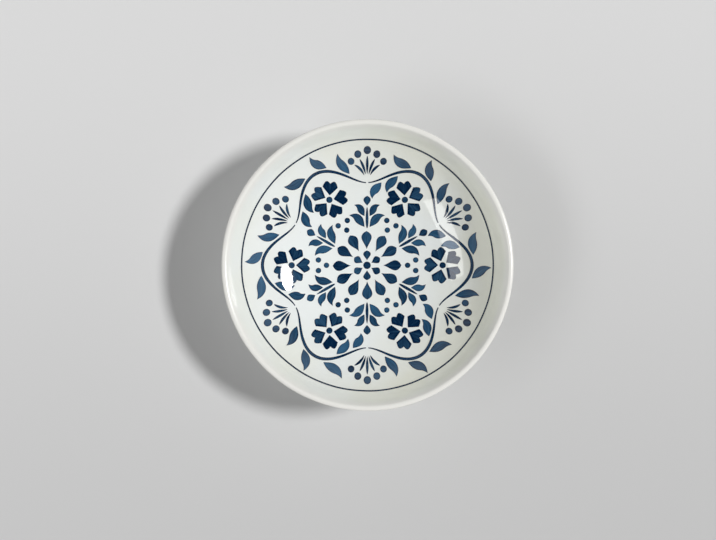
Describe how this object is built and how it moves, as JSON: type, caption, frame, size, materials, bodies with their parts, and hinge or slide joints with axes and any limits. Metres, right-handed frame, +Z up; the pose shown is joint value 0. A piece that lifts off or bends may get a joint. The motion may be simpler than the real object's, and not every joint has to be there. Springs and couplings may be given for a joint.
{
  "type": "soup plate",
  "caption": "Deep round coupe soup plate of glazed white porcelain with a rounded lip, a raised foot ring and a blue painted wreath of vines, blossoms and berries inside.",
  "frame": {"origin": "centre of the foot ring on the plane that the plate stands on", "axes": "+Z up out of the bowl along the axis of the plate, +X to the picture's right and +Y to its top"},
  "size_m": [0.2, 0.2, 0.0514],
  "materials": {
    "bare_porcelain": "unglazed fired porcelain, matte",
    "white_glaze": "white glaze, high gloss",
    "blue_paint": "cobalt blue paint under gloss"
  },
  "bodies": {
    "root": {"porcelain_body": "bare_porcelain", "glaze_coat": "white_glaze", "base_glaze": "white_glaze", "edge_line": "blue_paint", "vine_stems": "blue_paint", "vine_leaves": "blue_paint", "blossom_petals": "blue_paint", "blossom_eyes": "blue_paint", "berry_stalks": "blue_paint", "berries": "blue_paint", "rosette_outer_petals": "blue_paint", "rosette_inner_petals": "blue_paint", "rosette_eye": "blue_paint", "sprig_stems": "blue_paint", "sprig_leaves": "blue_paint", "sprig_buds": "blue_paint", "scatter_dots": "blue_paint"}
  },
  "joints": []
}
